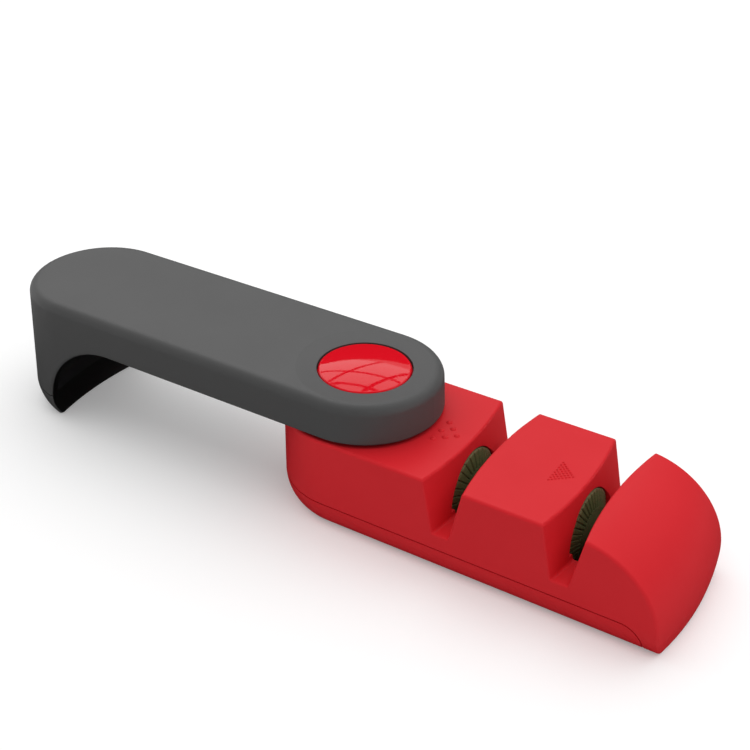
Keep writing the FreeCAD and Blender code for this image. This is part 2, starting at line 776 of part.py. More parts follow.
def foot_boss_places():
    """Midway between the liner and the shell's end wall."""
    liner_x = math.sqrt((cut_reach + liner_wall) ** 2 - foot_screw_side ** 2)
    wall_x = pivot_span + math.sqrt((body_radius - handle_wall) ** 2 - foot_screw_side ** 2)
    return [(-(liner_x + wall_x) / 2, side * foot_screw_side) for side in (1, -1)]


def below_foot_seam():
    return block(-pivot_span - body_radius - overrun, body_radius + overrun, body_radius + overrun,
                 -overrun, foot_seam)


def handle_shell():
    room = slab(body_radius - handle_wall, 0, handle_roof, -pivot_span, 0, handle_ends)
    boss_low = handle_bottom + liner_wall + liner_pad
    kept = [disc(boss_radius, boss_low, handle_top, x, y) for x, y in handle_boss_places]
    kept += [disc(boss_radius, 0, handle_top, x, y) for x, y in foot_boss_places()]
    dish_radius = body_radius - handle_round - dish_margin
    hole = button_radius + button_gap
    slope = dish_depth / (dish_radius - hole)
    dish = turned(outline((0, button_rim), [(hole, button_rim)],
                          [(dish_radius + overrun, handle_top + overrun * slope)],
                          [(0, handle_top + overrun * slope)], [(0, button_rim)]))
    holes = [below_foot_seam(), room.cut(kept), dish, disc(hole, handle_roof - overrun, handle_top + overrun)]
    holes += [disc(shank_radius + fit_gap, boss_low - overrun,
                   handle_bottom + handle_screw_sink + handle_screw_length + fit_gap, x, y)
              for x, y in handle_boss_places]
    holes += [disc(shank_radius + fit_gap, foot_seam - overrun,
                   foot_gap + foot_screw_sink + foot_screw_length + fit_gap, x, y)
              for x, y in foot_boss_places()]
    return handle_outer().cut(holes)


def handle_liner():
    skin = nose_form(-handle_gap - liner_wall, -overrun).cut(nose_form(-handle_gap, -overrun))
    inside = slab(body_radius - handle_wall - fit_gap, foot_seam, handle_top, -pivot_span, 0, handle_ends)
    plate = skin.common(inside).cut(disc(collar_outer, handle_bottom - overrun, handle_top))
    pad_top = handle_bottom + liner_wall + liner_pad
    added = [ring(collar_outer, collar_inner, handle_bottom, web_high),
             ring(collar_outer, hub_inner, web_low, web_high),
             ring(hub_outer, hub_inner, handle_bottom, web_high)]
    added += [disc(liner_pad_radius, handle_bottom, pad_top, x, y) for x, y in handle_boss_places]
    holes = [screw_room(x, y, handle_bottom + handle_screw_sink, handle_screw_length, handle_bottom - overrun)
             for x, y in handle_boss_places]
    for side in (1, -1):
        inner, outer = sorted((side * leg_slot_inner, side * leg_slot_outer))
        holes.append(block(inner, outer, leg_slot_half, web_low - overrun, web_high + overrun))
    return plate.fuse(added).removeSplitter().cut(holes)


def nose_foot():
    floor = foot_gap + foot_floor
    room = handle_form(handle_wall, floor, foot_seam + overrun, 0).cut(
        nose_form(-handle_gap - handle_wall, -overrun))
    kept = [disc(boss_radius, floor, foot_seam, x, y) for x, y in foot_boss_places()]
    shadow = block(-pivot_span - body_radius - overrun, 0, body_radius + overrun,
                   foot_seam - seam_gap, foot_seam + overrun)
    shadow_inner = body_radius + handle_flare - seam_depth
    shadow = shadow.cut(slab(shadow_inner, 0, handle_top, -pivot_span, 0, handle_ends))
    holes = [room.cut(kept), shadow]
    holes += [screw_room(x, y, foot_gap + foot_screw_sink, foot_screw_length, 0)
              for x, y in foot_boss_places()]
    return handle_outer().common(below_foot_seam()).cut(holes)


def handle_screws():
    seat = handle_bottom + handle_screw_sink
    return Part.makeCompound([screw(x, y, seat, handle_screw_length) for x, y in handle_boss_places])


def foot_screws():
    seat = foot_gap + foot_screw_sink
    return Part.makeCompound([screw(x, y, seat, foot_screw_length) for x, y in foot_boss_places()])


pieces = {
    "upper_housing": upper_housing(),
    "bottom_cover": bottom_cover(),
    "foot_pads": foot_pads(),
    "base_screws": base_screws(),
    "coarse_cradle": cradle(coarse_slot_x),
    "fine_cradle": cradle(fine_slot_x),
    "cradle_screws": cradle_screws(),
    "coarse_axle": axle(coarse_slot_x),
    "fine_axle": axle(fine_slot_x),
    "pivot_post": pivot_post(),
    "post_screws": post_screws(),
    "thrust_washer": thrust_washer(),
    "latch_spring": latch_spring(),
    "retaining_washer": retaining_washer(),
    "pivot_screw": pivot_screw(),
    "handle_shell": handle_shell(),
    "handle_liner": handle_liner(),
    "nose_foot": nose_foot(),
    "index_ring": index_ring(),
    "pivot_bush": pivot_bush(),
    "handle_screws": handle_screws(),
    "foot_screws": foot_screws(),
    "button_spring": button_spring(),
    "release_button": release_button(),
    "coarse_wheel_left": wheel(coarse_slot_x, -1, coarse_ribs),
    "coarse_wheel_right": wheel(coarse_slot_x, 1, coarse_ribs),
    "coarse_hub": wheel_hub(coarse_slot_x),
    "fine_wheel_left": wheel(fine_slot_x, -1, fine_ribs),
    "fine_wheel_right": wheel(fine_slot_x, 1, fine_ribs),
    "fine_hub": wheel_hub(fine_slot_x),
}

os.makedirs("parts", exist_ok=True)
for name, shape in pieces.items():
    shape.exportStep("parts/" + name + ".step")
    state = "valid" if shape.isValid() else "INVALID"
    print(name, len(shape.Solids), "solids", round(shape.Volume, 1), "mm3", state)
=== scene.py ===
import math

import bpy
from mathutils import Matrix, Vector


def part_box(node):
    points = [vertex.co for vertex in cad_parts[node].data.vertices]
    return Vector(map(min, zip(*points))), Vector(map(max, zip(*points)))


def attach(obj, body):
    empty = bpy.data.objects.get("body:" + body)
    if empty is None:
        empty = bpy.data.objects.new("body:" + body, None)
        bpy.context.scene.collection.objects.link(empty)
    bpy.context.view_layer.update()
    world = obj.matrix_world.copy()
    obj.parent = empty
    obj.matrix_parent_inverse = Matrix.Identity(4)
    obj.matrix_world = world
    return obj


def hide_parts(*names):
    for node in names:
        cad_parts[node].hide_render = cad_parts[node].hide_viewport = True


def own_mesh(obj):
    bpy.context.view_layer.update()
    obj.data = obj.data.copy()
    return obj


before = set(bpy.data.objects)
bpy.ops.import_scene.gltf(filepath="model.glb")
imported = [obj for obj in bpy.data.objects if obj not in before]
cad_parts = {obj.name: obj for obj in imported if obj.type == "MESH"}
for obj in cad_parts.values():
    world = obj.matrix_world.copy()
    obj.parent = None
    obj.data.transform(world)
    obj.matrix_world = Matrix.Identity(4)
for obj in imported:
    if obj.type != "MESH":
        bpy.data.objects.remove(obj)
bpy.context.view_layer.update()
bpy.ops.object.select_all(action="DESELECT")

# Bottom cover: the red dish that closes the base from below, up to the parting line.
# Injection-moulded ABS from a spark-eroded tool, so the skin is satin with a very fine grain.
# Six screws from below pull it up against the housing.
red_body = (0.70, 0.020, 0.028)
red_body_deep = (0.64, 0.016, 0.023)
mould_grain = 3000
mould_drift = 45
grain_detail = 2
drift_detail = 3
grain_strength = 0.25
grain_depth = 0.00006
rough_drift = 0.06
plain_shine = 0.5


def group_with(name, inputs, outputs):
    """Empty shader node group with float sockets, and its two end nodes."""
    group = bpy.data.node_groups.new(name, "ShaderNodeTree")
    for label, value in inputs.items():
        socket = group.interface.new_socket(label, in_out="INPUT", socket_type="NodeSocketFloat")
        socket.default_value = value
    for label in outputs:
        group.interface.new_socket(label, in_out="OUTPUT", socket_type="NodeSocketFloat")
    return group, group.nodes.new("NodeGroupInput"), group.nodes.new("NodeGroupOutput")


def moulded_skin():
    """Grain of a spark-eroded mould as a height, and the slow drift of tone over a moulding."""
    scales = {"Grain Scale": mould_grain, "Drift Scale": mould_drift}
    group, given, out = group_with("moulded_skin", scales, ["Height", "Drift"])
    nodes, link = group.nodes, group.links.new
    place = nodes.new("ShaderNodeTexCoord")
    grain = nodes.new("ShaderNodeTexNoise")
    grain.inputs["Detail"].default_value = grain_detail
    drift = nodes.new("ShaderNodeTexNoise")
    drift.inputs["Detail"].default_value = drift_detail
    for texture, scale in ((grain, "Grain Scale"), (drift, "Drift Scale")):
        link(place.outputs["Object"], texture.inputs["Vector"])
        link(given.outputs[scale], texture.inputs["Scale"])
    link(grain.outputs["Fac"], out.inputs["Height"])
    link(drift.outputs["Fac"], out.inputs["Drift"])
    return group


skin_group = moulded_skin()


def blank_material(name):
    """New material with its Principled shader, its nodes and the call that links them."""
    material = bpy.data.materials.new(name)
    material.use_nodes = True
    tree = material.node_tree
    return material, tree.nodes["Principled BSDF"], tree.nodes, tree.links.new


def between(nodes, link, fac, low, high):
    """Maps a 0 to 1 value to the range from low to high."""
    span = nodes.new("ShaderNodeMapRange")
    link(fac, span.inputs["Value"])
    span.inputs["To Min"].default_value = low
    span.inputs["To Max"].default_value = high
    return span.outputs["Result"]


def tones(nodes, link, fac, low, high):
    """Blends two colours by a 0 to 1 value."""
    blend = nodes.new("ShaderNodeMix")
    blend.data_type = "RGBA"
    link(fac, blend.inputs["Factor"])
    blend.inputs["A"].default_value = (*low, 1)
    blend.inputs["B"].default_value = (*high, 1)
    return blend.outputs["Result"]


def grained(nodes, link, shader, height, strength, depth):
    """Bump on the shader's normal."""
    bump = nodes.new("ShaderNodeBump")
    bump.inputs["Strength"].default_value = strength
    bump.inputs["Distance"].default_value = depth
    link(height, bump.inputs["Height"])
    link(bump.outputs["Normal"], shader.inputs["Normal"])


def moulded(name, colour, deep, rough, shine=plain_shine, grain=mould_grain,
            strength=grain_strength, depth=grain_depth):
    """Moulded plastic: two close tones, a roughness that drifts with them, and the mould's grain."""
    material, shader, nodes, link = blank_material(name)
    shader.inputs["Specular IOR Level"].default_value = shine
    skin = nodes.new("ShaderNodeGroup")
    skin.node_tree = skin_group
    skin.inputs["Grain Scale"].default_value = grain
    drift = skin.outputs["Drift"]
    link(tones(nodes, link, drift, deep, colour), shader.inputs["Base Color"])
    link(between(nodes, link, drift, rough + rough_drift, rough - rough_drift), shader.inputs["Roughness"])
    grained(nodes, link, shader, skin.outputs["Height"], strength, depth)
    return material


def dress(node, material):
    """Gives a CAD node its finish."""
    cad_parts[node].material_slots[0].material = material


red_moulding = moulded("red_moulding", red_body, red_body_deep, rough=0.48, shine=0.12)
dress("bottom_cover", red_moulding)

# Foot pads: one large round pad under the pivot and two small ones under each slot.
# Black moulded rubber, glued into shallow pockets; each stands on a rim and a raised middle.
pad_rim_share = 0.16
pad_moat_share = 0.10
pad_moat_depth = 0.00045
pad_middle_rise = 0.0003
pad_edge = 0.00014
pad_edge_steps = 3
pad_sides = 72
rubber_black = (0.022, 0.022, 0.023)
rubber_black_deep = (0.014, 0.014, 0.015)
merge_gap = 0.000001
facing = 0.9
sharp_angle = math.radians(40)
smooth_angle = math.radians(35)


def only(piece):
    """Makes one object the selected and active one."""
    bpy.ops.object.select_all(action="DESELECT")
    piece.select_set(True)
    bpy.context.view_layer.objects.active = piece


def solids_of(node):
    """Lowest and highest corner of each separate solid in a CAD node, from a merged copy."""
    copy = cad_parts[node].copy()
    copy.data = copy.data.copy()
    bpy.context.scene.collection.objects.link(copy)
    only(copy)
    bpy.ops.object.mode_set(mode="EDIT")
    bpy.ops.mesh.select_all(action="SELECT")
    bpy.ops.mesh.remove_doubles(threshold=merge_gap)
    bpy.ops.mesh.separate(type="LOOSE")
    bpy.ops.object.mode_set(mode="OBJECT")
    corners = []
    for solid in bpy.context.selected_objects:
        points = [vertex.co for vertex in solid.data.vertices]
        low = Vector([min(point[axis] for point in points) for axis in range(3)])
        high = Vector([max(point[axis] for point in points) for axis in range(3)])
        corners.append((low, high))
    bpy.ops.object.delete()
    return sorted(corners, key=lambda pair: (pair[0].x, pair[0].y))


def pick_faces(piece, wanted):
    """In edit mode, leaves only the faces selected for which wanted(face) holds."""
    bpy.ops.object.mode_set(mode="OBJECT")
    for part in (piece.data.vertices, piece.data.edges):
        part.foreach_set("select", [False] * len(part))
    for face in piece.data.polygons:
        face.select = wanted(face)
    bpy.ops.object.mode_set(mode="EDIT")
    bpy.ops.mesh.select_mode(type="FACE")


def settle(piece, name):
    """Moves an object's place into its mesh and names it."""
    only(piece)
    bpy.ops.object.transform_apply(location=True, rotation=True, scale=True)
    piece.name = name
    return piece


def softened(piece, width, segments):
    """Rounds the sharp edges and shades the rest smooth."""
    only(piece)
    bevel = piece.modifiers.new("edge", "BEVEL")
    bevel.width = width
    bevel.segments = segments
    bevel.limit_method = "ANGLE"
    bevel.angle_limit = sharp_angle
    bpy.ops.object.modifier_apply(modifier=bevel.name)
    bpy.ops.object.shade_smooth_by_angle(angle=smooth_angle)


def joined(pieces, name):
    """Joins like pieces into one object."""
    only(pieces[0])
    for piece in pieces:
        piece.select_set(True)
    bpy.ops.object.join()
    return settle(bpy.context.object, name)


def foot_pad(low, high):
    """Round pad whose underside has a moat between its rim and its middle."""
    radius = (high.x - low.x) / 2
    bpy.ops.mesh.primitive_cylinder_add(vertices=pad_sides, radius=radius, depth=high.z - low.z,
                                        location=(low + high) / 2)
    pad = bpy.context.object
    pick_faces(pad, lambda face: face.normal.z < -facing)
    bpy.ops.mesh.inset(thickness=radius * pad_rim_share)
    bpy.ops.mesh.extrude_region_move(TRANSFORM_OT_translate={"value": (0, 0, pad_moat_depth)})
    bpy.ops.mesh.inset(thickness=radius * pad_moat_share)
    bpy.ops.mesh.extrude_region_move(TRANSFORM_OT_translate={"value": (0, 0, -pad_middle_rise)})
    bpy.ops.object.mode_set(mode="OBJECT")
    softened(pad, pad_edge, pad_edge_steps)
    return pad


rubber = moulded("rubber_pad", rubber_black, rubber_black_deep, rough=0.78,
                 grain=1800, strength=0.5, depth=0.0001)
pads = joined([foot_pad(*corners) for corners in solids_of("foot_pads")], "foot_pads_moulded")
pads.data.materials.append(rubber)
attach(pads, "base")
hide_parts("foot_pads")

# Cradles: a black frame round each pair of wheels, with a cheek at each end of the axle.
# Glass-filled nylon, moulded; two screws hold each one down on the bottom cover.
nylon_black = (0.016, 0.016, 0.017)
nylon_black_deep = (0.010, 0.010, 0.011)
black_moulding = moulded("black_moulding", nylon_black, nylon_black_deep, rough=0.5,
                         grain=2200, strength=0.35)
for node in ("coarse_cradle", "fine_cradle"):
    dress(node, black_moulding)

# Axles: two steel pins pressed through the cheeks.
# Ground bar, so fine lines run round each pin.
steel_light = (0.66, 0.66, 0.67)
steel_dark = (0.50, 0.50, 0.51)
line_scale = 2500
line_detail = 2
line_rough = 0.08
line_strength = 0.2
line_depth = 0.00004


def machined_lines():
    """Fine lines left by grinding or turning, across what lies along X or stands along Z, as a height."""
    group, given, out = group_with("machined_lines", {"Line Scale": line_scale}, ["Height"])
    nodes, link = group.nodes, group.links.new
    place = nodes.new("ShaderNodeTexCoord")
    lines = nodes.new("ShaderNodeTexNoise")
    lines.noise_dimensions = "1D"
    lines.inputs["Detail"].default_value = line_detail
    parts = nodes.new("ShaderNodeSeparateXYZ")
    sum_up = nodes.new("ShaderNodeMath")
    link(place.outputs["Object"], parts.inputs["Vector"])
    link(parts.outputs["X"], sum_up.inputs[0])
    link(parts.outputs["Z"], sum_up.inputs[1])
    link(sum_up.outputs["Value"], lines.inputs["W"])
    link(given.outputs["Line Scale"], lines.inputs["Scale"])
    link(lines.outputs["Fac"], out.inputs["Height"])
    return group


lines_group = machined_lines()


def machined(name, light, dark, rough):
    """Bright metal with machining lines in its tone, roughness and relief."""
    material, shader, nodes, link = blank_material(name)
    lines = nodes.new("ShaderNodeGroup")
    lines.node_tree = lines_group
    shader.inputs["Metallic"].default_value = 1
    height = lines.outputs["Height"]
    link(tones(nodes, link, height, dark, light), shader.inputs["Base Color"])
    link(between(nodes, link, height, rough + line_rough, rough - line_rough), shader.inputs["Roughness"])
    grained(nodes, link, shader, height, line_strength, line_depth)
    return material


steel = machined("ground_steel", steel_light, steel_dark, rough=0.28)
for node in ("coarse_axle", "fine_axle"):
    dress(node, steel)

# Sharpening wheels: two pairs of bevelled discs whose ribbed faces make the V that hones the edge.
# Sintered ceramic, dark olive, with a granular skin; the ribbed band is painted darker as the shade among
# its ribs, so the plain ring inside it and the rim are paler.
# Each pair is pushed on a black sleeve that turns on the axle.
olive_rim = (0.145, 0.140, 0.064)
# Painted shade: the ribbed band's colour is darker to stand for the shade among the ribs.
olive_rib_painted_shade = (0.100, 0.116, 0.046)
olive_core = (0.128, 0.130, 0.060)
core_share = 0.54
rib_start_share = 0.64
rib_end_share = 0.95
rim_share = 0.97
across_axle = (0, 1, 1)
grit_scale = 2600
grit_detail = 4
grit_dark = (0.35, 0.35, 0.35)
grit_light = (1.6, 1.6, 1.5)
grit_rough = 0.75
grit_smooth = 0.5
grit_strength = 0.6
grit_depth = 0.0001
axle_low, axle_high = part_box("coarse_axle")
wheel_low, wheel_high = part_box("coarse_wheel_left")
axle_height = (axle_low[2] + axle_high[2]) / 2
wheel_radius = (wheel_high[2] - wheel_low[2]) / 2


def sintered(name):
    """Ceramic whose tone changes with the distance from the axle, painted darker over the ribs as their
    shade, broken up by grit.
    """
    material, shader, nodes, link = blank_material(name)
    place = nodes.new("ShaderNodeTexCoord")
    centred = nodes.new("ShaderNodeMapping")
    centred.inputs["Location"].default_value = (0, 0, -axle_height)
    flat = nodes.new("ShaderNodeVectorMath")
    flat.operation = "MULTIPLY"
    flat.inputs[1].default_value = across_axle
    reach = nodes.new("ShaderNodeVectorMath")
    reach.operation = "LENGTH"
    rings = nodes.new("ShaderNodeValToRGB")
    share = nodes.new("ShaderNodeMapRange")
    share.inputs["From Max"].default_value = wheel_radius
    link(place.outputs["Object"], centred.inputs["Vector"])
    link(centred.outputs["Vector"], flat.inputs[0])
    link(flat.outputs["Vector"], reach.inputs[0])
    link(reach.outputs["Value"], share.inputs["Value"])
    link(share.outputs["Result"], rings.inputs["Fac"])
    ramp = rings.color_ramp
    ramp.elements[0].position = core_share
    ramp.elements[0].color = (*olive_core, 1)
    ramp.elements[1].position = rib_start_share
    ramp.elements[1].color = (*olive_rib_painted_shade, 1)
    ramp.elements.new(rib_end_share).color = (*olive_rib_painted_shade, 1)
    ramp.elements.new(rim_share).color = (*olive_rim, 1)
    grit = nodes.new("ShaderNodeTexNoise")
    grit.inputs["Scale"].default_value = grit_scale
    grit.inputs["Detail"].default_value = grit_detail
    link(place.outputs["Object"], grit.inputs["Vector"])
    speckle = nodes.new("ShaderNodeMix")
    speckle.data_type = "RGBA"
    speckle.blend_type = "MULTIPLY"
    speckle.inputs["Factor"].default_value = 1
    link(rings.outputs["Color"], speckle.inputs["A"])
    link(tones(nodes, link, grit.outputs["Fac"], grit_dark, grit_light), speckle.inputs["B"])
    link(speckle.outputs["Result"], shader.inputs["Base Color"])
    link(between(nodes, link, grit.outputs["Fac"], grit_rough, grit_smooth), shader.inputs["Roughness"])
    grained(nodes, link, shader, grit.outputs["Fac"], grit_strength, grit_depth)
    return material


ceramic = sintered("sintered_ceramic")
for node in ("coarse_wheel_left", "coarse_wheel_right", "fine_wheel_left", "fine_wheel_right"):
    dress(node, ceramic)
for node in ("coarse_hub", "fine_hub"):
    dress(node, black_moulding)

# Upper housing: the red shell with the two V slots, the wheel windows and the raised dot marks.
# The same satin ABS as the cover; its top edges and the slots' mouths are softly rounded.
dress("upper_housing", red_moulding)

# Pivot: a turned post screwed under the housing's top wall, with a plastic washer on it.
# Free-cutting steel and acetal; the handle's bush turns on the post.
acetal_pale = (0.74, 0.73, 0.69)
acetal_pale_deep = (0.68, 0.67, 0.63)
acetal = moulded("acetal", acetal_pale, acetal_pale_deep, rough=0.42)
dress("pivot_post", steel)
dress("thrust_washer", acetal)

# Latch: a closed strip of spring steel whose two noses click into the handle's index ring.
# Blanked, bent and hardened; two tabs hold it in the housing's top.
# The pressed button's legs squeeze the noses in; here the strip is built at rest.
base_top = 0.031
latch_strip = 0.0005
latch_nose_half = 0.003
latch_tip_half = 0.0009
latch_tab_half = 0.002
latch_sides = 128
spring_light = (0.52, 0.52, 0.54)
spring_dark = (0.38, 0.38, 0.40)
latch_low, latch_high = (Vector(corner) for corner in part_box("latch_spring"))


def combined(piece, tool, operation):
    """Adds the tool to the piece or cuts it away, and removes the tool."""
    only(piece)
    change = piece.modifiers.new("change", "BOOLEAN")
    change.operation = operation
    change.object = tool
    bpy.ops.object.modifier_apply(modifier=change.name)
    bpy.data.objects.remove(tool)


def block(low, high):
    """Box between two corners."""
    low, high = Vector(low), Vector(high)
    bpy.ops.mesh.primitive_cube_add(size=1, location=(low + high) / 2, scale=high - low)
    return settle(bpy.context.object, "block")


def nose_wedge(side, reach, low, high):
    """Wedge that narrows outwards, from the strip's inside to the reach."""
    root = reach - (latch_high.x - latch_high.y + latch_strip)
    ends = sorted((side * root, side * reach))
    wedge = block((ends[0], -latch_nose_half, low), (ends[1], latch_nose_half, high))
    pick_faces(wedge, lambda face: side * face.normal.x > facing)
    bpy.ops.transform.resize(value=(1, latch_tip_half / latch_nose_half, 1))
    bpy.ops.object.mode_set(mode="OBJECT")
    return wedge


def latch():
    """Tall strip bent to a ring with a hollow nose at each side, then cut to height and to its tabs."""
    past = latch_high.x
    top = latch_high.z + past
    bpy.ops.mesh.primitive_cylinder_add(vertices=latch_sides, radius=latch_high.y, depth=top - latch_low.z,
                                        end_fill_type="NOTHING", location=(0, 0, (latch_low.z + top) / 2))
    strip = settle(bpy.context.object, "latch_strip")
    bend = strip.modifiers.new("thickness", "SOLIDIFY")
    bend.thickness = latch_strip
    bend.offset = -1
    bpy.ops.object.modifier_apply(modifier=bend.name)
    for side in (1, -1):
        combined(strip, nose_wedge(side, latch_high.x, latch_low.z - past, top + past), "UNION")
        hollow = nose_wedge(side, latch_high.x - 2 * latch_strip, latch_low.z - 2 * past, top + 2 * past)
        combined(strip, hollow, "DIFFERENCE")
    above = block((-2 * past, -past, latch_high.z), (2 * past, past, top + 2 * past))
    combined(strip, above, "DIFFERENCE")
    for side in (1, -1):
        ends = sorted((side * latch_tab_half, side * 2 * past))
        beside_tab = block((ends[0], -past, latch_low.z - 2 * past), (ends[1], past, base_top))
        combined(strip, beside_tab, "DIFFERENCE")
    bpy.ops.object.shade_smooth_by_angle(angle=smooth_angle)
    return strip


spring_steel = machined("spring_steel", spring_light, spring_dark, rough=0.32)
latch_piece = latch()
latch_piece.data.materials.append(spring_steel)
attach(latch_piece, "base")
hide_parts("latch_spring")
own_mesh(latch_piece)

# Handle's inside: the black liner that shows from below, with the hub, bush and index ring in it.
# Nylon, moulded; four screws from below clamp it into the grey shell.
dress("handle_liner", black_moulding)
for node in ("index_ring", "pivot_bush"):
    dress(node, acetal)

# Handle shell and nose foot: the dark grey grip.
# ABS sprayed with a soft-touch coat, so it is matte and a little velvety, with a fine even grain.
# The faces that pass over the base, the flat underside and the round cut, show the bare black moulding,
# coloured darker still as painted shade for the deep shadow under the nose.
grey_coat = (0.074, 0.074, 0.074)
grey_coat_deep = (0.068, 0.068, 0.068)
# Painted shade: near black for the bare moulding and the deep shadow under the nose, darker than the black
# liner.
bare_black_and_painted_shade = (0.004, 0.004, 0.004)
coat_grain = 2400
coat_drift = 40
coat_strength = 0.3
coat_rough = 0.60
coat_smooth = 0.52
nose_radius = 0.025
cut_gap = 0.001
coat_edge = 0.0002
housing_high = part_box("upper_housing")[1]
nose_centre_reach = housing_high[0] - nose_radius
nose_centre_height = base_top - nose_radius


def off_the_shaded_cut(nodes, link):
    """1 on the sprayed outside, 0 on the underside and its round cut, which take the painted shade."""
    place = nodes.new("ShaderNodeTexCoord")
    parts = nodes.new("ShaderNodeSeparateXYZ")
    link(place.outputs["Object"], parts.inputs["Vector"])
    reach = nodes.new("ShaderNodeCombineXYZ")
    link(parts.outputs["X"], reach.inputs["X"])
    link(parts.outputs["Y"], reach.inputs["Y"])
    from_pivot = nodes.new("ShaderNodeVectorMath")
    from_pivot.operation = "LENGTH"
    link(reach.outputs["Vector"], from_pivot.inputs[0])
    past_start = nodes.new("ShaderNodeMath")
    past_start.operation = "MAXIMUM"
    past_start.inputs[1].default_value = nose_centre_reach
    link(from_pivot.outputs["Value"], past_start.inputs[0])
    section = nodes.new("ShaderNodeCombineXYZ")
    link(past_start.outputs["Value"], section.inputs["X"])
    link(parts.outputs["Z"], section.inputs["Y"])
    from_circle = nodes.new("ShaderNodeVectorMath")
    from_circle.operation = "DISTANCE"
    from_circle.inputs[1].default_value = (nose_centre_reach, nose_centre_height, 0)
    link(section.outputs["Vector"], from_circle.inputs[0])
    outside = nodes.new("ShaderNodeMath")
    outside.operation = "GREATER_THAN"
    outside.inputs[1].default_value = nose_radius + cut_gap + coat_edge
    link(from_circle.outputs["Value"], outside.inputs[0])
    return outside.outputs["Value"]


def sprayed(name):
    """Grey coat with two close tones, left off the underside and its round cut, which are near black: bare
    moulding with painted shade.
    """
    material, shader, nodes, link = blank_material(name)
    skin = nodes.new("ShaderNodeGroup")
    skin.node_tree = skin_group
    skin.inputs["Grain Scale"].default_value = coat_grain
    skin.inputs["Drift Scale"].default_value = coat_drift
    coat = tones(nodes, link, skin.outputs["Drift"], grey_coat_deep, grey_coat)
    # Painted shade on the underside and round cut, where the coat is left off.
    cover = nodes.new("ShaderNodeMix")
    cover.data_type = "RGBA"
    cover.inputs["A"].default_value = (*bare_black_and_painted_shade, 1)
    link(off_the_shaded_cut(nodes, link), cover.inputs["Factor"])
    link(coat, cover.inputs["B"])
    link(cover.outputs["Result"], shader.inputs["Base Color"])
    link(between(nodes, link, skin.outputs["Drift"], coat_rough, coat_smooth), shader.inputs["Roughness"])
    grained(nodes, link, shader, skin.outputs["Height"], coat_strength, grain_depth)
    return material


soft_touch = sprayed("grey_soft_touch")
for node in ("handle_shell", "nose_foot"):
    dress(node, soft_touch)

# Fastenings: cross-head screws in the base, the cradles, the post, the handle and its nose.
# Cold-headed steel with bright zinc plating; those that show from below have their cross recess.
screw_head_height = 0.0015
screw_shank_radius = 0.0013
screw_crown = 0.0006
recess_length_share = 1.15
recess_width_share = 0.32
recess_depth = 0.0011
recess_taper = 0.45
screw_sides = 48
screw_crown_steps = 5
zinc_light = (0.62, 0.63, 0.65)
zinc_dark = (0.48, 0.49, 0.51)
zinc = machined("zinc_plate", zinc_light, zinc_dark, rough=0.34)
for node in ("cradle_screws", "post_screws", "pivot_screw"):
    dress(node, zinc)
dress("retaining_washer", steel)


def recess_cutter(size, depth):
    """Tapered bar that cuts one arm of a cross recess."""
    bpy.ops.mesh.primitive_cube_add(size=1, location=(0, 0, 0), scale=(*size, 2 * depth))
    bar = bpy.context.object
    pick_faces(bar, lambda face: face.normal.z > facing)
    bpy.ops.transform.resize(value=(recess_taper, recess_taper, 1))
    bpy.ops.object.mode_set(mode="OBJECT")
    bar.location.z = -screw_head_height
    return settle(bar, "recess_cutter")


def cross_screw(head_radius, length):
    """Pan-head screw that points up from the origin, its head below with a cross recess."""
    bpy.ops.mesh.primitive_cylinder_add(vertices=screw_sides, radius=head_radius, depth=screw_head_height,
                                        location=(0, 0, -screw_head_height / 2))
    screw = settle(bpy.context.object, "screw")
    pick_faces(screw, lambda face: face.normal.z < -facing)
    bpy.ops.mesh.bevel(offset=screw_crown, segments=screw_crown_steps, affect="EDGES")
    pick_faces(screw, lambda face: face.normal.z > facing)
    bpy.ops.mesh.inset(thickness=head_radius - screw_shank_radius)
    bpy.ops.mesh.extrude_region_move(TRANSFORM_OT_translate={"value": (0, 0, length)})
    bpy.ops.object.mode_set(mode="OBJECT")
    long_side = head_radius * recess_length_share
    short_side = head_radius * recess_width_share
    for size in ((long_side, short_side), (short_side, long_side)):
        combined(screw, recess_cutter(size, recess_depth), "DIFFERENCE")
    bpy.ops.object.shade_smooth_by_angle(angle=smooth_angle)
    return screw


def screw_set(node, body):
    """Cross-head screws in place of a CAD node's plain ones."""
    solids = solids_of(node)
    low, high = solids[0]
    first = cross_screw((high.x - low.x) / 2, high.z - low.z - screw_head_height)
    copies = []
    for low, high in solids:
        copy = first.copy()
        copy.data = first.data.copy()
        copy.location = ((low.x + high.x) / 2, (low.y + high.y) / 2, low.z + screw_head_height)
        bpy.context.scene.collection.objects.link(copy)
        copies.append(copy)
    bpy.data.objects.remove(first)
    screws = joined(copies, node + "_cross_head")
    screws.data.materials.append(zinc)
    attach(screws, body)
    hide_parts(node)


for node, body in (("base_screws", "base"), ("handle_screws", "handle"), ("foot_screws", "handle")):
    screw_set(node, body)

# Button spring: an open coil of round wire that stands on the handle's web and lifts the button.
# Spring steel, wound; here the coil is built once, to the CAD spring's height.
spring_wire = 0.0007
spring_turns = 3
turn_steps = 56
wire_sides = 14
spring_low, spring_high = (Vector(corner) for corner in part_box("button_spring"))
spring_height = spring_high.z - spring_low.z


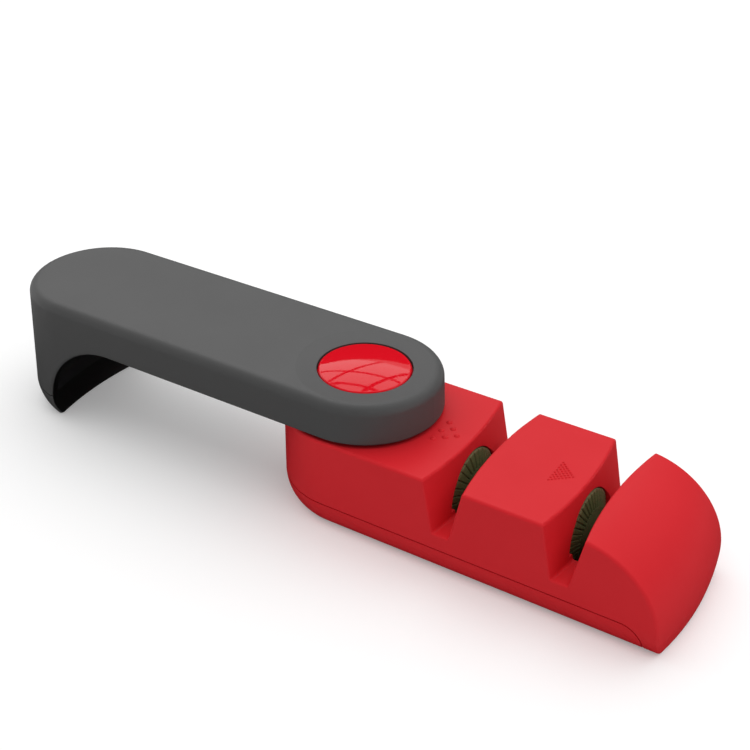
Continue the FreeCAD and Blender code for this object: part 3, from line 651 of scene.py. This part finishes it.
def coil_spring():
    """Wire's round section, wound up round the pivot and closed at both ends."""
    coil_radius = (spring_high.x - spring_low.x - spring_wire) / 2
    bpy.ops.mesh.primitive_circle_add(vertices=wire_sides, radius=spring_wire / 2,
                                      rotation=(math.pi / 2, 0, 0),
                                      location=(coil_radius, 0, spring_low.z + spring_wire / 2))
    coil = settle(bpy.context.object, "button_spring_coil")
    wind = coil.modifiers.new("wind", "SCREW")
    wind.screw_offset = (spring_height - spring_wire) / spring_turns
    wind.iterations = spring_turns
    wind.steps = turn_steps
    wind.render_steps = turn_steps
    bpy.ops.object.modifier_apply(modifier=wind.name)
    bpy.ops.object.mode_set(mode="EDIT")
    bpy.ops.mesh.select_all(action="SELECT")
    bpy.ops.mesh.remove_doubles(threshold=merge_gap)
    bpy.ops.mesh.fill_holes(sides=0)
    bpy.ops.mesh.select_all(action="SELECT")
    bpy.ops.mesh.normals_make_consistent(inside=False)
    bpy.ops.object.mode_set(mode="OBJECT")
    bpy.ops.object.shade_smooth_by_angle(angle=smooth_angle)
    return coil


coil = coil_spring()
coil.data.materials.append(spring_steel)
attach(coil, "handle")
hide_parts("button_spring")
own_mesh(coil)

# Release button: the domed cap over the pivot.
# Polished red ABS with a clear gloss; its skirt runs in the handle's round hole.
red_button = (0.72, 0.006, 0.016)
red_button_deep = (0.69, 0.005, 0.014)
red_gloss = moulded("red_gloss", red_button, red_button_deep, rough=0.05, shine=0.22,
                    grain=350, strength=0.02)
dress("release_button", red_gloss)

# Floor: a plain pale sheet under the object.
# A faint glow makes it white to the camera and in reflections, and it keeps the soft shadow.
floor_size = 3.0
floor_level = -0.0002
floor_tone = (0.82, 0.82, 0.82, 1)
floor_rough = 0.9
floor_glow = 0.22
white = (1, 1, 1, 1)
bpy.ops.mesh.primitive_plane_add(size=floor_size, location=(0, 0, floor_level))
floor = bpy.context.object
floor.name = "floor"
floor_white, floor_shader, floor_nodes, floor_link = blank_material("floor_white")
floor_shader.inputs["Base Color"].default_value = floor_tone
floor_shader.inputs["Roughness"].default_value = floor_rough
floor_shader.inputs["Specular IOR Level"].default_value = 0
floor_shader.inputs["Emission Color"].default_value = white


def seen_directly(nodes, link):
    """1 for rays from the camera and for the reflections and glass that show the background."""
    path = nodes.new("ShaderNodeLightPath")
    most = path.outputs["Is Camera Ray"]
    for label in ("Is Glossy Ray", "Is Transmission Ray"):
        larger = nodes.new("ShaderNodeMath")
        larger.operation = "MAXIMUM"
        link(most, larger.inputs[0])
        link(path.outputs[label], larger.inputs[1])
        most = larger.outputs["Value"]
    return most


floor_link(between(floor_nodes, floor_link, seen_directly(floor_nodes, floor_link), 0, floor_glow),
           floor_shader.inputs["Emission Strength"])
floor.data.materials.append(floor_white)

# Light: a large ceiling softbox and an even white surround.
# The cards only show in reflections: a barred window for the button's gloss, and a dark flag behind,
# a dark tent in front and overhead and a dark table card, which keep the satin faces from veiling over.
world = bpy.data.worlds.new("surround")
bpy.context.scene.world = world
world.use_nodes = True
surround = world.node_tree.nodes["Background"]
surround.inputs["Color"].default_value = white
surround_light = 0.5
world_nodes = world.node_tree.nodes
world_link = world.node_tree.links.new
world_link(between(world_nodes, world_link, seen_directly(world_nodes, world_link), surround_light, 1),
           surround.inputs["Strength"])
softbox_height = 1.0
softbox_back = 0.45
softbox_width = 2.2
softbox_depth = 2.0
softbox_power = 14
softbox_data = bpy.data.lights.new("softbox", "AREA")
softbox_data.shape = "RECTANGLE"
softbox_data.size = softbox_width
softbox_data.size_y = softbox_depth
softbox_data.energy = softbox_power
softbox = bpy.data.objects.new("softbox", softbox_data)
softbox.location = (0, softbox_back, softbox_height)
bpy.context.scene.collection.objects.link(softbox)
softbox.visible_glossy = False
bar_width = 0.034
bar_drop = 0.02
bars_along = (-0.77, -0.41)
bars_across = (0.98, 0.69)
window_from = 0.36
window_to = 1.50
window_left = -1.9
window_right = -0.30
window_glow = 2.35
flag_distance = 1.0
flag_low = 0.02
flag_high = 0.56
flag_from = 0.35
tent_radius = 1.08
tent_length = 3.0
table_card_size = (0.51, 0.50)
table_card_centre = 0.045
card_sides = 96
card_tone = (0.012, 0.012, 0.012, 1)
unlit_black = (0, 0, 0, 1)
card_black, card_shader = blank_material("card_black")[:2]
card_shader.inputs["Base Color"].default_value = card_tone
card_shader.inputs["Roughness"].default_value = 1
card_shader.inputs["Specular IOR Level"].default_value = 0
window_white, window_shader = blank_material("window_white")[:2]
window_shader.inputs["Base Color"].default_value = unlit_black
window_shader.inputs["Specular IOR Level"].default_value = 0
window_shader.inputs["Emission Color"].default_value = white
window_shader.inputs["Emission Strength"].default_value = window_glow


def reflected_only(card, name, material):
    """Stage piece that only shows in reflections."""
    card.name = name
    card.data.materials.append(material)
    card.visible_camera = False
    card.visible_diffuse = False
    card.visible_shadow = False


window_middle = (window_from + window_to) / 2
window_depth = window_to - window_from
window_centre = (window_left + window_right) / 2
window_width = window_right - window_left
bpy.ops.mesh.primitive_plane_add(size=1, location=(window_centre, window_middle, softbox_height))
bpy.context.object.scale = (window_width, window_depth, 1)
reflected_only(bpy.context.object, "window", window_white)
for x in bars_along:
    bpy.ops.mesh.primitive_cube_add(size=1, location=(x, window_middle, softbox_height - bar_drop),
                                    scale=(bar_width, window_depth, bar_drop / 2))
    reflected_only(bpy.context.object, "window_bar", card_black)
for y in bars_across:
    bpy.ops.mesh.primitive_cube_add(size=1, location=(window_centre, y, softbox_height - bar_drop),
                                    scale=(window_width, bar_width, bar_drop / 2))
    reflected_only(bpy.context.object, "window_bar", card_black)
bpy.ops.mesh.primitive_cylinder_add(vertices=card_sides, radius=flag_distance, depth=flag_high - flag_low,
                                    end_fill_type="NOTHING", location=(0, 0, (flag_low + flag_high) / 2))
flag = bpy.context.object
pick_faces(flag, lambda face: face.center.y < flag_from)
bpy.ops.mesh.delete(type="FACE")
bpy.ops.object.mode_set(mode="OBJECT")
reflected_only(flag, "flag", card_black)
bpy.ops.mesh.primitive_cylinder_add(vertices=card_sides, radius=tent_radius, depth=tent_length,
                                    end_fill_type="NOTHING", rotation=(0, math.pi / 2, 0))
tent = settle(bpy.context.object, "tent")
pick_faces(tent, lambda face: face.center.y > window_from or face.center.z < 0)
bpy.ops.mesh.delete(type="FACE")
bpy.ops.object.mode_set(mode="OBJECT")
reflected_only(tent, "tent", card_black)
bpy.ops.mesh.primitive_plane_add(size=1, location=(table_card_centre, 0, floor_level / 2))
bpy.context.object.scale = (*table_card_size, 1)
reflected_only(bpy.context.object, "table_card", card_black)

# Camera: the photograph's own standpoint.
# Aim, distance, turn and lens come from a fit of the part's outline.
camera_aim = Vector((0.009895, -0.010366, 0.049847))
camera_distance = 0.38262
camera_azimuth = math.radians(31.812)
camera_elevation = math.radians(32.072)
camera_roll = math.radians(0.577)
camera_lens = 64.98
camera_sensor = 36
camera_data = bpy.data.cameras.new("camera")
camera_data.sensor_width = camera_sensor
camera_data.lens = camera_lens
camera = bpy.data.objects.new("camera", camera_data)
camera_turn = Matrix.Rotation(camera_azimuth, 3, "Z")
camera_turn = camera_turn @ Matrix.Rotation(math.pi / 2 - camera_elevation, 3, "X")
camera_turn = camera_turn @ Matrix.Rotation(camera_roll, 3, "Z")
camera.rotation_euler = camera_turn.to_euler()
camera.location = camera_aim + camera_turn @ Vector((0, 0, camera_distance))
bpy.context.scene.collection.objects.link(camera)
bpy.context.scene.camera = camera
bpy.context.scene.view_settings.view_transform = "Standard"
